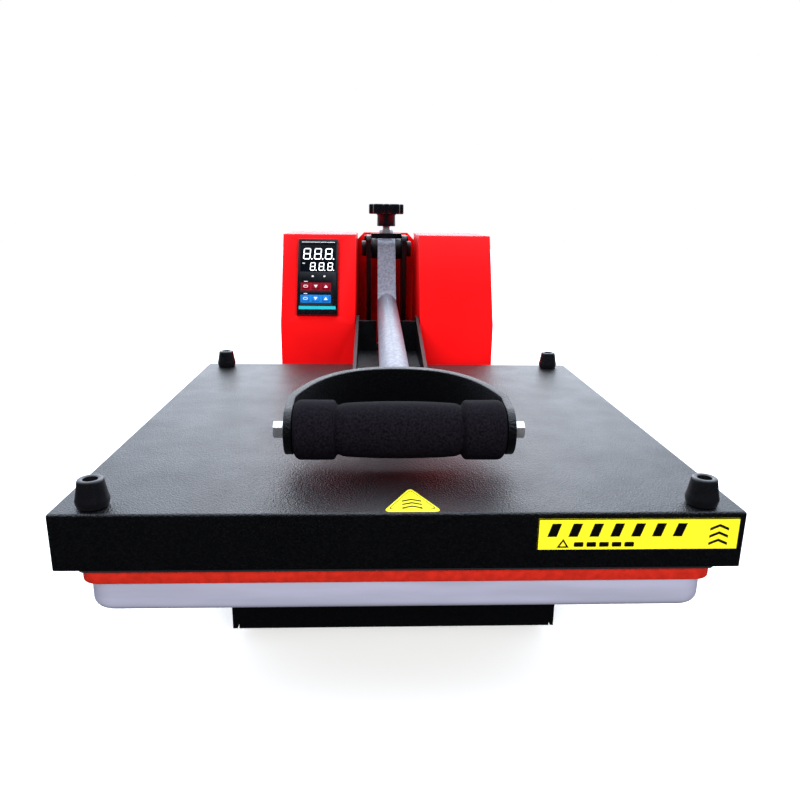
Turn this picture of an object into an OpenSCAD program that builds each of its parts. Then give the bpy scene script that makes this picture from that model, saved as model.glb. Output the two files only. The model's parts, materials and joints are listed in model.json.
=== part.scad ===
// Clamshell heat press: a heated upper platen on a hinged arm, pressed down on a
// padded lower platen by an over-centre lever. X is across the press, the operator
// stands at -Y, and the press rests on Z = 0.

/* [Platens] */
// Side length of the square heated platen
platen_w = 380; // [360:1:384]
// Thickness of the heated platen
platen_t = 17.7; // [14:0.1:18]
// Side length of the square sheet steel cover
cover_w = 398; // [396:1:404]
// Height of the cover's folded sides
cover_h = 34.5; // [33:0.5:38]
// Side length of the lower platen
lower_w = 375; // [360:1:384]
// Thickness of the lower platen
lower_t = 20; // [15:1:20]
// Thickness of the silicone sponge pad
pad_t = 7; // [5:1:10]
// Height of the pad's top, where the work lies
work_z = 115; // [112:1:118]

/* [Base] */
// Width of the folded steel base
base_w = 250; // [240:1:252]
// Length of the base
base_l = 506; // [500:1:508]
// Height of the rubber feet
foot_h = 8; // [6:1:10]
// Thickness of the base's sheet steel
base_sheet = 3; // [2:0.5:3]

/* [Control box] */
// Width over both halves of the control box
box_w = 253; // [250:1:256]
// Width of the recess between the halves
recess_w = 77; // [77:0.5:80]
// Thickness of the control box's sheet steel
box_sheet = 1.5; // [1:0.1:2]

/* [Lever] */
// Diameter of the lever's round bar
bar_d = 24.5; // [20:0.5:25]
// Length of the foam grip
grip_l = 136; // [130:1:136]
// Largest diameter of the foam grip
grip_d = 39; // [36:0.5:40]
// Diameter of the pressure knob
knob_d = 46; // [38:1:48]
// Number of lobes on the pressure knob
knob_lobes = 8; // [6:1:10]

/* [Hidden] */
$fn = 64;

slack = 0.05;        // radial clearance of a running fit
eps = 0.01;

// Where things stand along Y: the platens' middle, and the outer ends of the press
platen_y = -115;
cover_front = platen_y - cover_w / 2;
rear_y = 306.5;                        // outer face of the rear panel
rear_end = -cover_front + 0.3;         // the fuse cap's outer end, which centres the press on Y = 0
base_y0 = rear_y - base_l;
base_top = 65;

// Heights of the layers
pad_z = work_z - pad_t;
lower_z = pad_z - lower_t;
platen_z = work_z + 0.3;
platen_top = platen_z + platen_t;
cover_z = work_z + 6.8;
cover_top = cover_z + cover_h;
cover_sheet = 1.5;
cover_under = cover_top - cover_sheet;

// Pivots, as [y, z]
lever_pivot = [253, 275];
hinge_pivot = [263, 140];
link_pivot = [227.4, 229.7];
stub_pivot = [185, 155];
spring_pivot = [291, 145];
screw_y = 275;
neck_dir = [-0.4924, -0.8704];         // down the lever's neck, in the plane of Y and Z
elbow = lever_pivot + 75 * neck_dir;
bar_front = [-172, 195];
grip_axis = [-245, 184];
fork_tilt = 8.2;

upright_x = 20;
upright_t = 6;
upright_front = 235;
upright_back = 285;
upright_top = 292;
bracket_x = 34;                        // inner face of the bracket's flanges
bracket_t = 3.5;
bracket_web = 3.7;
cheek_x = 7;                           // inner face of the lever neck's cheeks

foot_xy = [for (x = [-105, 105], y = [base_y0 + 28.5, rear_y - 26.5]) [x, y]];
post_xy = [for (x = [-96, 96], y = [-168, -22]) [x, y]];
bumper_xy = [for (x = [-177, 177], y = [platen_y - 186.5, platen_y + 186.5]) [x, y]];
bolt_xy = [for (x = [-22, 22], y = [-132, -72]) [x, y]];
panel_screw_xz = [for (x = [-118, -47, 47, 118], z = [80, 272]) [x, z]];

// The control panel slopes back from the bend to the top edge
bend = [142, work_z + 76.6];
brow = [193.6, 294.2];
panel_angle = atan2(brow[0] - bend[0], brow[1] - bend[1]);

// The controller, measured from the panel's top edge
meter_w = 48;
meter_h = 96;
meter_x = -83.4;
meter_drop = 8.8;
bezel_h = 6;
button_w = 8;
button_h = 6;
button_x = [-14, -2, 10];
temp_row = 61;
time_row = 76.3;
button_low = 4;                        // a button's lower end above the panel's face
button_up = 7;

// Rear fittings, as [x, z]
inlet_at = [82, 102];
switch_at = [82, 152];
fuse_at = [82, 190];
rocker_y = 300;

// ---- helpers ----

// Extrudes a profile drawn in [y, z] from x0 to x1
module across(x0, x1) {
    translate([x0, 0, 0]) rotate([90, 0, 90]) linear_extrude(height = x1 - x0) children();
}

// A round bar along X through [y, z]
module rod_x(at, x0, x1, r) {
    translate([x0, at[0], at[1]]) rotate([0, 90, 0]) cylinder(r = r, h = x1 - x0);
}

// A round bar along Y through [x, z]
module rod_y(at, y0, y1, r) {
    translate([at[0], y0, at[1]]) rotate([-90, 0, 0]) cylinder(r = r, h = y1 - y0);
}

// A round bar along Z through [x, y]
module rod_z(at, z0, z1, r) {
    translate([at[0], at[1], z0]) cylinder(r = r, h = z1 - z0);
}

// A hexagon across flats af, along Z
module hex_z(at, z0, z1, af) {
    translate([at[0], at[1], z0]) cylinder(r = af / sqrt(3), h = z1 - z0, $fn = 6);
}

// A box from one corner to the other
module block(lo, hi) {
    translate(lo) cube(hi - lo);
}

// A square with rounded corners, centred
module rounded_square(w, d, r) {
    square([w - 2 * r, d], center = true);
    square([w, d - 2 * r], center = true);
    for (x = [-1, 1], y = [-1, 1])
        translate([x * (w / 2 - r), y * (d / 2 - r)]) circle(r = r);
}

module both_sides() {
    children();
    mirror([1, 0, 0]) children();
}

// Puts children on the sloping control panel: X across, Y up the slope from its top edge, Z outwards
module on_panel() {
    translate([0, brow[0], brow[1]]) rotate([90 - panel_angle, 0, 0]) children();
}

// ---- base ----

module base_frame() {
    lip = 40;
    y0 = base_y0;
    y1 = rear_y - 0.5;
    w = base_w / 2;
    color("#1c1c1e") difference() {
        block([-w, y0, foot_h], [w, y1, base_top]);
        block([-w + base_sheet, y0 + base_sheet, foot_h + base_sheet],
            [w - base_sheet, y1 - base_sheet, base_top - base_sheet]);
        block([-w + lip, y0 + lip, foot_h - 1], [w - lip, y1 - lip, foot_h + base_sheet + 1]);
        for (x = [-1, 1])
            translate([x * (w - base_sheet - 0.6), y0 - 1, foot_h - 1])
                cube([1.2, lip, 7]);
        for (p = foot_xy) rod_z(p, foot_h - 1, foot_h + base_sheet + 1, 2.6);
        for (p = post_xy) rod_z(p, base_top - base_sheet - 1, base_top + 1, 4.1);
    }
}

module rubber_feet() {
    color("#161616") for (p = foot_xy) difference() {
        rod_z(p, 0, foot_h, 12.5);
        rod_z(p, -1, 3, 5.5);
        rod_z(p, -1, foot_h + 1, 2.6);
    }
}

// The screws that hold the feet, and those round the rear panel
module case_screws() {
    color("silver") for (p = foot_xy) {
        rod_z(p, 1, 3, 4.6);
        rod_z(p, 1, foot_h + base_sheet + 6, 2.5);
        difference() {
            hex_z(p, foot_h + base_sheet, foot_h + base_sheet + 4, 8);
            rod_z(p, foot_h, foot_h + base_sheet + 5, 2.5);
        }
    }
    color("silver") for (p = panel_screw_xz) {
        rod_y(p, rear_y, rear_y + 1.8, 3.4);
        rod_y(p, rear_y - 8, rear_y, 1.7);
    }
}

// ---- uprights, crossbar and hinge ----

module upright() {
    r = 8;
    slot_r = 6 + slack;
    travel = 3.3;
    across(upright_x, upright_x + upright_t) difference() {
        union() {
            translate([upright_front, base_top])
                square([upright_back - upright_front, upright_top - r - base_top]);
            translate([upright_front + r, base_top])
                square([upright_back - upright_front - 2 * r, upright_top - base_top]);
            for (y = [upright_front + r, upright_back - r])
                translate([y, upright_top - r]) circle(r = r);
        }
        for (z = [-travel, travel]) translate(lever_pivot + [0, z]) circle(r = slot_r);
        translate(lever_pivot) square([2 * slot_r, 2 * travel], center = true);
        translate(hinge_pivot) circle(r = 8 + slack);
        for (p = tie_at) translate(p) circle(r = 3.1);
        translate(crossbar_screw) circle(r = 2.1);
    }
}

tie_at = [[272, 88], [248, 108]];

module upright_right() {
    color("#202022") upright();
}

module upright_left() {
    color("#202022") mirror([1, 0, 0]) upright();
}

module tie_bars() {
    color("#2a2a2c") for (p = tie_at) difference() {
        rod_x(p, -upright_x, upright_x, 6.5);
        for (x = [-1, 1]) rod_x(p, min(x * 8, x * 21), max(x * 8, x * 21), 3);
    }
}

// The screws into the tie bars and into the crossbar's ends
module upright_screws() {
    outside = upright_x + upright_t;
    color("#2a2a2c") both_sides() {
        for (p = tie_at) {
            rod_x(p, 8, outside, 3);
            translate([outside, p[0], p[1]]) rotate([0, 90, 0]) cylinder(r = 10 / sqrt(3), h = 4, $fn = 6);
        }
        rod_x(crossbar_screw, 10, outside, 2);
        rod_x(crossbar_screw, outside, outside + 3.2, 4);
    }
}

crossbar_z = [286, 294];
crossbar_screw = [screw_y, upright_top - 4.5];

module top_crossbar() {
    color("#202022") difference() {
        block([-upright_x, 265.5, crossbar_z[0]], [upright_x, 284.5, crossbar_z[1]]);
        rod_z([0, screw_y], 280, 300, 5.5);
        for (x = [-1, 1])
            rod_x(crossbar_screw, min(x * 10, x * 21), max(x * 10, x * 21), 2);
    }
}

module lock_nut() {
    color("silver") difference() {
        hex_z([0, screw_y], crossbar_z[1], crossbar_z[1] + 5, 16);
        rod_z([0, screw_y], 290, 302, 5 + slack);
    }
}

module hinge_shaft() {
    color("silver") rod_x(hinge_pivot, -38, 38, 8);
}

// ---- lower platen and pad ----

module platen_posts() {
    color("#2a2a2c") for (p = post_xy) {
        rod_z(p, base_top, lower_z, 11);
        rod_z(p, base_top - base_sheet - 12, base_top, 4);
        difference() {
            hex_z(p, base_top - base_sheet - 6.5, base_top - base_sheet, 13);
            rod_z(p, 50, base_top, 4);
        }
    }
}

module lower_platen() {
    corner = 16;
    edge = 5.5;
    color("#b9bac6") translate([0, platen_y, lower_z]) hull() {
        translate([0, 0, edge]) linear_extrude(height = lower_t - edge)
            rounded_square(lower_w, lower_w, corner, $fn = 48);
        for (x = [-1, 1], y = [-1, 1])
            translate([x * (lower_w / 2 - corner), y * (lower_w / 2 - corner), edge])
                rotate_extrude($fn = 48) intersection() {
                    translate([corner - edge, 0]) circle(r = edge, $fn = 32);
                    translate([0, -edge]) square([corner, edge]);
                }
    }
}

module silicone_pad() {
    color("#d8401c") translate([0, platen_y, pad_z])
        linear_extrude(height = pad_t) rounded_square(platen_w, platen_w, 12);
}

// ---- control box ----

// The outline of the control box from the side
module box_outline(inset) {
    k = inset * tan(panel_angle / 2);
    c = inset / cos(panel_angle);
    face_top = brow[1] - inset;
    slope = (brow[0] - bend[0]) / (brow[1] - bend[1]);
    polygon([
        [bend[0] + inset, base_top - (inset > 0 ? 1 : 0)],
        [bend[0] + inset, bend[1] - k],
        [brow[0] + c - inset * slope, face_top],
        [rear_y - box_sheet + (inset > 0 ? 1 : 0), face_top],
        [rear_y - box_sheet + (inset > 0 ? 1 : 0), base_top - (inset > 0 ? 1 : 0)]]);
}

module housing() {
    x0 = recess_w / 2;
    x1 = box_w / 2;
    difference() {
        across(x0, x1) box_outline(0);
        across(x0 + box_sheet, x1 - box_sheet) box_outline(box_sheet);
    }
}

module housing_right() {
    color("#e8120f") housing();
}

module housing_left() {
    color("#e8120f") difference() {
        mirror([1, 0, 0]) housing();
        on_panel() translate([meter_x, -meter_drop - meter_h / 2, 0])
            cube([meter_w - 2.5, meter_h - 3.5, 12], center = true);
        rod_y([-70, 125], bend[0] - 5, bend[0] + 5, 7);
    }
}

module rear_panel() {
    cut = 9;
    w = box_w / 2;
    r = recess_w / 2 + 0.2;
    top = brow[1];
    t = box_sheet;
    color("#e8120f") difference() {
        translate([0, rear_y, 0]) rotate([90, 0, 0]) linear_extrude(height = t)
            polygon([[-w, base_top], [w, base_top], [w, top], [r, top], [r, top - cut], [r - cut, top],
                [cut - r, top], [-r, top - cut], [-r, top], [-w, top]]);
        for (z = [110:10:170]) for (x = [-104, -70])
            block([x, rear_y - 5, z], [x + 26, rear_y + 5, z + 4]);
        for (p = panel_screw_xz) rod_y(p, rear_y - 5, rear_y + 5, 1.8);
        block([inlet_at[0] - 14.2, rear_y - 5, inlet_at[1] - 10.2], [inlet_at[0] + 14.2, rear_y + 5, inlet_at[1] + 10.2]);
        block([switch_at[0] - 6.7, rear_y - 5, switch_at[1] - 9.7], [switch_at[0] + 6.7, rear_y + 5, switch_at[1] + 9.7]);
        rod_y(fuse_at, rear_y - 5, rear_y + 5, 6.1);
    }
}

// ---- controller ----

module at_meter(down) {
    on_panel() translate([meter_x, -meter_drop - down, 0]) children();
}

module button_at(i, row) {
    at_meter(row) translate([button_x[i], 0, 0]) children();
}

module controller_case() {
    color("#17171a") difference() {
        union() {
            at_meter(meter_h / 2) translate([-meter_w / 2, -meter_h / 2, 0])
                cube([meter_w, meter_h, bezel_h]);
            at_meter(meter_h / 2) translate([-22, -45.5, -62]) cube([44, 91, 62]);
        }
        at_meter(25) translate([-21, -17, bezel_h - 1.5]) cube([42, 34, 3]);
        for (row = [temp_row, time_row]) {
            at_meter(row) translate([-20, -5, bezel_h - 0.6]) cube([36, 10, 3]);
            for (i = [0:2]) button_at(i, row)
                translate([0, 0, bezel_h - 1]) cube([button_w + 0.6, button_h + 0.6, 6], center = true);
        }
    }
}

module display_window() {
    color("#0a0a0c") at_meter(25) translate([-20.9, -16.9, bezel_h - 1.5]) cube([41.8, 33.8, 1.5]);
}

module button_strip(row) {
    at_meter(row) difference() {
        translate([-19.9, -4.9, bezel_h - 0.6]) cube([39.8 - 4, 9.8, 0.8]);
        for (x = button_x) translate([x, 0, bezel_h])
            cube([button_w + 0.6, button_h + 0.6, 4], center = true);
    }
}

module temp_strip() {
    color("#84000f") button_strip(temp_row);
}

module time_strip() {
    color("#1676c8") button_strip(time_row);
}

module button(i, row) {
    button_at(i, row) translate([-button_w / 2, -button_h / 2, button_low])
        cube([button_w, button_h, button_up - button_low]);
}

module temp_set_button() {
    color("#84000f") button(0, temp_row);
}

module temp_down_button() {
    color("#84000f") button(1, temp_row);
}

module temp_up_button() {
    color("#84000f") button(2, temp_row);
}

module time_set_button() {
    color("#1676c8") button(0, time_row);
}

module time_down_button() {
    color("#1676c8") button(1, time_row);
}

module time_up_button() {
    color("#1676c8") button(2, time_row);
}

// ---- inside the control box ----

module solid_state_relay() {
    color("#d8d4c8") difference() {
        block([52, 190, base_top], [97, 248, base_top + 25]);
        for (y = [196, 242]) rod_z([74.5, y], base_top - 1, base_top + 30, 2.2);
    }
}

module terminal_block() {
    color("#f2f0ea") difference() {
        block([50, 158, base_top], [110, 174, base_top + 14]);
        for (i = [0:5]) rod_z([55 + 10 * i, 166], base_top + 6, base_top + 20, 2.2);
    }
}

module power_inlet() {
    x = inlet_at[0];
    z = inlet_at[1];
    color("#141414") difference() {
        union() {
            block([x - 25, rear_y, z - 12], [x + 25, rear_y + 3, z + 12]);
            block([x - 14, rear_y - 22, z - 10], [x + 14, rear_y, z + 10]);
        }
        block([x - 12, rear_y - 16, z - 8], [x + 12, rear_y + 4, z + 8]);
    }
    color("silver") for (p = [[-7, -1], [0, 2], [7, -1]])
        block([x + p[0] - 1, rear_y - 16, z + p[1] - 2], [x + p[0] + 1, rear_y, z + p[1] + 2]);
}

module switch_bezel() {
    x = switch_at[0];
    z = switch_at[1];
    color("#141414") difference() {
        union() {
            block([x - 8.5, rear_y, z - 12], [x + 8.5, rear_y + 2, z + 12]);
            block([x - 6.5, rear_y - 22, z - 9.5], [x + 6.5, rear_y, z + 9.5]);
        }
        block([x - 5.5, rear_y - 20, z - 8.8], [x + 5.5, rear_y + 3, z + 8.8]);
    }
}

// The rocker turns on two trunnions behind the panel, and stands in its off position
module power_rocker() {
    x = switch_at[0];
    color("#c01010") translate([0, rocker_y, switch_at[1]]) rotate([10, 0, 0]) {
        across(x - 5.1, x + 5.1)
            polygon([[-4, -3], [-4, 3], [7, 7], [10.4, 6.2], [8.6, 0], [10.4, -6.2], [7, -7]]);
        rod_x([0, 0], x - 5.4, x + 5.4, 1.5);
    }
}

module fuse_holder() {
    color("#141414") difference() {
        union() {
            rod_y(fuse_at, rear_y, rear_y + 2, 8);
            rod_y(fuse_at, rear_y - 30, rear_y, 6);
        }
        rod_y(fuse_at, rear_y - 20, rear_y + 3, 4.2);
    }
}

module fuse_cap() {
    color("#141414") difference() {
        union() {
            rod_y(fuse_at, rear_y + 2.3, rear_end, 6.8);
            rod_y(fuse_at, rear_y - 14, rear_y + 3, 3.9);
        }
        block([fuse_at[0] - 5, rear_end - 1.5, fuse_at[1] - 0.8], [fuse_at[0] + 5, rear_end + 1, fuse_at[1] + 0.8]);
    }
}

// ---- lift springs and heater cable ----

anchor_top = 84;
spring_x = 30.5;

module lift_springs() {
    color("silver") for (x = [-spring_x, spring_x])
        rod_z([x, spring_pivot[0]], anchor_top, spring_pivot[1] - 4, 3.2);
}

module spring_anchors() {
    color("#2a2a2c") both_sides()
        block([27, 286, base_top], [34, 297, anchor_top]);
}

module cable_grommet() {
    color("#161616") difference() {
        union() {
            rod_y([-70, 125], bend[0] - 3, bend[0], 9);
            rod_y([-70, 125], bend[0], bend[0] + box_sheet, 6.9);
            rod_y([-70, 125], bend[0] + box_sheet, bend[0] + box_sheet + 3, 9);
        }
        rod_y([-70, 125], bend[0] - 5, bend[0] + 10, 5.2);
    }
}

// The cable hangs in a loop from the cover's rear side to the grommet
cable_r = 4;
cable_x = -70;
cable_route = [[84, 140], [92, 138], [98, 131], [101, 121], [102, 110], [103, 99], [105, 89],
    [110, 80], [117, 76], [124, 78], [129, 84], [131, 93], [131, 102], [131, 111], [133, 119],
    [138, 124.4], [143, 125], [148, 125]];

function cable_dir(i) =
    let (a = cable_route[max(i - 1, 0)], b = cable_route[min(i + 1, len(cable_route) - 1)])
    (i == 0 || i == len(cable_route) - 1) ? [1, 0] : (b - a) / norm(b - a);

module heater_cable() {
    sides = 10;
    n = len(cable_route);
    rings = [for (i = [0:n - 1], k = [0:sides - 1])
        let (p = cable_route[i], d = cable_dir(i), a = 360 * k / sides)
        [cable_x + cable_r * cos(a), p[0] - d[1] * cable_r * sin(a), p[1] + d[0] * cable_r * sin(a)]];
    color("#e6e2da") polyhedron(points = rings, faces = concat(
        [[for (k = [0:sides - 1]) k]],
        [for (i = [0:n - 2], k = [0:sides - 1])
            [i * sides + k, (i + 1) * sides + k, (i + 1) * sides + (k + 1) % sides, i * sides + (k + 1) % sides]],
        [[for (k = [sides - 1:-1:0]) (n - 1) * sides + k]]));
}

// ---- heated platen and its cover ----

module heater_cover() {
    w = cover_w / 2;
    color("#1e1e20") difference() {
        block([-w, platen_y - w, cover_z], [w, platen_y + w, cover_top]);
        block([-w + cover_sheet, platen_y - w + cover_sheet, cover_z - 1],
            [w - cover_sheet, platen_y + w - cover_sheet, cover_under]);
        for (p = bolt_xy) rod_z(p, cover_under - 1, cover_top + 1, 4.2);
        for (p = bumper_xy) rod_z(p, cover_under - 1, cover_top + 1, 2.1);
        rod_y([cable_x, 140], platen_y + w - 5, platen_y + w + 5, 3.9);
    }
}

bumper_h = 16.8;

module cover_bumpers() {
    color("#141414") for (p = bumper_xy) translate([p[0], p[1], cover_top]) rotate_extrude()
        polygon([[2.1, 0], [8.4, 0], [9.6, 4], [9.3, 6], [7.4, bumper_h - 1.5], [6.6, bumper_h],
            [4, bumper_h], [4, bumper_h - 8], [2.1, bumper_h - 8]]);
}

module bumper_screws() {
    color("silver") for (p = bumper_xy) {
        rod_z(p, cover_top + bumper_h - 8, cover_top + bumper_h - 5, 3.6);
        rod_z(p, cover_under - 10, cover_top + bumper_h - 8, 2);
    }
}

module heat_platen() {
    color("#c9cace") difference() {
        translate([0, platen_y, platen_z]) linear_extrude(height = platen_t)
            rounded_square(platen_w, platen_w, 5);
        for (p = bolt_xy) rod_z(p, platen_top - 12, platen_top + 1, 4);
    }
}

module heating_element() {
    color("#c8b060") difference() {
        block([-172, platen_y - 165, platen_top], [172, platen_y + 165, platen_top + 2]);
        for (p = bolt_xy) rod_z(p, platen_top - 1, platen_top + 3, 9.5);
    }
}

module insulation_board() {
    color("#e6e2d6") difference() {
        block([-172, platen_y - 165, platen_top + 2.1], [172, platen_y + 165, platen_top + 14]);
        for (p = bolt_xy) rod_z(p, platen_top, platen_top + 15, 9.5);
    }
}

// Sleeves round the bracket's bolts, and slim posts for the bumper screws
module platen_spacers() {
    color("silver") {
        for (p = bolt_xy) difference() {
            rod_z(p, platen_top, cover_under, 9);
            rod_z(p, platen_top - 1, cover_under + 1, 4.2);
        }
        for (p = bumper_xy) difference() {
            rod_z(p, platen_top, cover_under, 3.5);
            rod_z(p, cover_under - 12, cover_under + 1, 2);
        }
    }
}

// ---- bracket between the cover and the hinge ----

flange_front = -57;
tab_y = [143, 147];

module flange_outline() {
    polygon([[flange_front, cover_top], [flange_front, cover_top + bracket_web], [151, 199], [170, 199],
        [262, 157], [291, 154], [299, 150], [299, 140], [287, 136.5], [262, 123], [176, 142.5],
        [150, 150], [tab_y[1], cover_top]]);
    translate(hinge_pivot) circle(r = 17);
    translate(spring_pivot) circle(r = 9);
    translate(stub_pivot) circle(r = 13);
}

module platen_bracket() {
    outer = bracket_x + bracket_t;
    color("#1c1c1e") difference() {
        union() {
            block([-outer, -150, cover_top], [outer, tab_y[1], cover_top + bracket_web]);
            both_sides() {
                across(bracket_x, outer) flange_outline();
                block([13.2, tab_y[0], cover_top], [bracket_x + 1, tab_y[1], 196]);
            }
        }
        rod_x(hinge_pivot, -50, 50, 8 + slack);
        rod_x(stub_pivot, -50, 50, 6);
        rod_x(spring_pivot, -50, 50, 4);
        for (p = bolt_xy) rod_z(p, cover_top - 1, cover_top + bracket_web + 1, 4.2);
    }
}

module bracket_bolts() {
    z = cover_top + bracket_web;
    color("#2a2a2c") for (p = bolt_xy) {
        rod_z(p, platen_top - 10, z, 4);
        hex_z(p, z, z + 5.3, 13);
    }
}

module hinge_bushes() {
    color("#b08d4a") both_sides() difference() {
        rod_x(hinge_pivot, upright_x + upright_t + 0.3, bracket_x, 13);
        rod_x(hinge_pivot, 20, 40, 8 + slack);
    }
}

// The link's stub pins and the pins that the lift springs hook on
module bracket_pins() {
    color("#2a2a2c") both_sides() {
        rod_x(spring_pivot, 26.8, bracket_x + bracket_t, 4);
        rod_x(stub_pivot, 8, bracket_x + bracket_t, 6);
        difference() {
            rod_x(stub_pivot, bracket_x - 5, bracket_x, 10);
            rod_x(stub_pivot, bracket_x - 6, bracket_x + 1, 6);
        }
    }
}

// Two blank stickers: a triangle on top of the cover and a plate on its front
module warning_labels() {
    t = 0.3;
    color("#fff032") {
        translate([5.5, 0, cover_top]) linear_extrude(height = t)
            polygon([[-1.5, -277], [1.5, -277], [17, -309], [15.5, -311.5], [-15.5, -311.5], [-17, -309]]);
        block([77.3, cover_front - t, 133], [195.3, cover_front, 152.8]);
    }
}

// ---- pressure adjustment ----

module pressure_yoke() {
    color("#1c1c1e") difference() {
        union() {
            both_sides() across(12.2, 19.6) union() {
                translate(lever_pivot) circle(r = 13);
                translate([lever_pivot[0], 262]) square([31, 18]);
            }
            block([-12.3, 266.6, 262], [12.3, 284, 282]);
        }
        rod_x(lever_pivot, -30, 30, 6);
        rod_z([0, screw_y], 264, 300, 5 + slack);
    }
}

module lever_shaft() {
    color("silver") {
        rod_x(lever_pivot, -31, 31, 6);
        both_sides() difference() {
            translate([upright_x + upright_t + 0.4, lever_pivot[0], lever_pivot[1]])
                rotate([0, 90, 0]) cylinder(r = 10, h = 5.5);
            rod_x(lever_pivot, 20, 40, 6);
        }
    }
}

hub_z = 303.3;
hub_r = 12.3;
star_z = 318.8;
knob_top = 331.8;

module pressure_screw() {
    color("silver") rod_z([0, screw_y], 264, hub_z + 10, 5);
}

module pressure_knob() {
    lobe_r = 5.2;
    ring = knob_d / 2 - lobe_r;
    color("#151517") difference() {
        union() {
            rod_z([0, screw_y], hub_z, star_z, hub_r);
            rod_z([0, screw_y], star_z, knob_top, ring + 1.5);
            for (i = [0:knob_lobes - 1])
                rod_z([ring * sin(360 * i / knob_lobes), screw_y + ring * cos(360 * i / knob_lobes)],
                    star_z, knob_top, lobe_r);
        }
        rod_z([0, screw_y], hub_z - 1, hub_z + 10, 5);
        rod_z([0, screw_y], knob_top - 3, knob_top + 1, 8);
    }
}

// ---- lever ----

// Children drawn along the neck: X down the neck from the pivot, Y towards the operator
module along_neck() {
    translate(lever_pivot) rotate(atan2(neck_dir[1], neck_dir[0])) mirror([0, 1]) children();
}

// The fork's strip in plan, as [x, distance behind the grip's axis], for half of it: straight beside
// the grip, then a curve round to the middle
fork_x = 71;
fork_half = 2.75;                      // half the strip's thickness
fork_straight = 18;
fork_pull = [[fork_x, fork_straight], [60.5, 48], [43, 72], [0, 72]];
function fork_point(t) = pow(1 - t, 3) * fork_pull[0] + 3 * t * pow(1 - t, 2) * fork_pull[1]
    + 3 * t * t * (1 - t) * fork_pull[2] + pow(t, 3) * fork_pull[3];
function fork_run(t) = pow(1 - t, 2) * (fork_pull[1] - fork_pull[0])
    + 2 * t * (1 - t) * (fork_pull[2] - fork_pull[1]) + t * t * (fork_pull[3] - fork_pull[2]);
function fork_curve(grow) = [for (i = [0:20]) let (t = i / 20, d = fork_run(t) / norm(fork_run(t)))
    fork_point(t) + grow * [d[1], -d[0]]];

function mirrored(points) = [for (i = [len(points) - 1:-1:0]) [-points[i][0], points[i][1]]];
function reversed(points) = [for (i = [len(points) - 1:-1:0]) points[i]];

module fork_plan() {
    outer = concat([[fork_x + fork_half, -16]], fork_curve(fork_half));
    inner = concat([[fork_x - fork_half, -16]], fork_curve(-fork_half));
    polygon(concat(outer, mirrored(outer), reversed(mirrored(inner)), reversed(inner)));
}

module fork_strip() {
    depth = 32;
    translate([0, grip_axis[0], grip_axis[1]]) rotate([fork_tilt, 0, 0]) intersection() {
        translate([0, 0, -depth / 2]) linear_extrude(height = depth) fork_plan();
        union() {
            rod_x([0, 0], -90, 90, depth / 2);
            block([-90, 0, -depth / 2], [90, 90, depth / 2]);
        }
    }
}

// The cast lever: a flat neck with a slot for the link, and a round bar that ends at the fork
module lever_arm() {
    dy = bar_front[0] - elbow[0];
    dz = bar_front[1] - elbow[1];
    run = norm([dy, dz]);
    pitch = atan2(dz, -dy);
    color("#8f9094") difference() {
        union() {
            across(-11.5, 11.5) union() {
                translate(lever_pivot) circle(r = 13);
                along_neck() polygon([[0, -11], [0, 12], [30, 17], [66, 17], [82, 24], [92, 12], [80, -8], [60, -12]]);
            }
            translate([0, elbow[0] + 3, elbow[1] + 0.5]) rotate([90 - pitch, 0, 0])
                cylinder(r = bar_d / 2, h = run + 3);
        }
        across(-cheek_x, cheek_x) along_neck() polygon([[30, -40], [30, 13], [110, 13], [110, -40]]);
        rod_x(lever_pivot, -20, 20, 6 + slack);
        rod_x(link_pivot, -20, 20, 5);
    }
}

module lever_fork() {
    color("#19191b") difference() {
        fork_strip();
        rod_x(grip_axis, -90, 90, 3.2);
    }
}

module grip_tube() {
    color("silver") difference() {
        rod_x(grip_axis, -68.2, 68.2, 7);
        rod_x(grip_axis, -80, 80, 3);
    }
}

// A hexagon head bolt and its washer at each end of the grip
module grip_bolts() {
    out = fork_x + fork_half;
    washer = 1.6;
    color("silver") both_sides() {
        rod_x(grip_axis, 45, out, 3);
        difference() {
            rod_x(grip_axis, out, out + washer, 6.5);
            rod_x(grip_axis, out - 1, out + 2, 3);
        }
        rod_x(grip_axis, out, out + washer, 3);
        translate([out + washer, grip_axis[0], grip_axis[1]]) rotate([0, 90, 0])
            cylinder(r = 10 / sqrt(3), h = 6, $fn = 6);
    }
}

module link_pin() {
    color("silver") rod_x(link_pivot, -11.5, 11.5, 5);
}

module foam_grip() {
    half = grip_l / 2;
    color("#232024") translate([0, grip_axis[0], grip_axis[1]]) rotate([0, 90, 0]) rotate_extrude()
        polygon(concat([[7, -half], [grip_d / 2 - 4, -half], [grip_d / 2 - 1, -half + 1.2], [grip_d / 2, -half + 4],
            [grip_d / 2, -half + 24], [grip_d / 2 - 1, -half + 27], [grip_d / 2 - 3.2, -half + 28]],
            [for (i = [0:12]) let (x = -half + 28.6 + (2 * half - 57.2) * i / 12)
                [grip_d / 2 - 2.6 + 1.4 * (1 - pow(x / (half - 28.6), 2)), x]],
            [[grip_d / 2 - 3.2, half - 28], [grip_d / 2 - 1, half - 27], [grip_d / 2, half - 24],
            [grip_d / 2, half - 4], [grip_d / 2 - 1, half - 1.2], [grip_d / 2 - 4, half], [7, half]]));
}

module toggle_link() {
    d = stub_pivot - link_pivot;
    run = norm(d);
    color("#2a2a2c") across(-6, 6) difference() {
        union() {
            translate(link_pivot) circle(r = 10.5);
            translate(stub_pivot) circle(r = 10.5);
            translate(link_pivot) rotate(atan2(d[1], d[0])) translate([0, -8]) square([run, 16]);
        }
        translate(link_pivot) circle(r = 5 + slack);
        translate(stub_pivot) circle(r = 6);
    }
}

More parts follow.
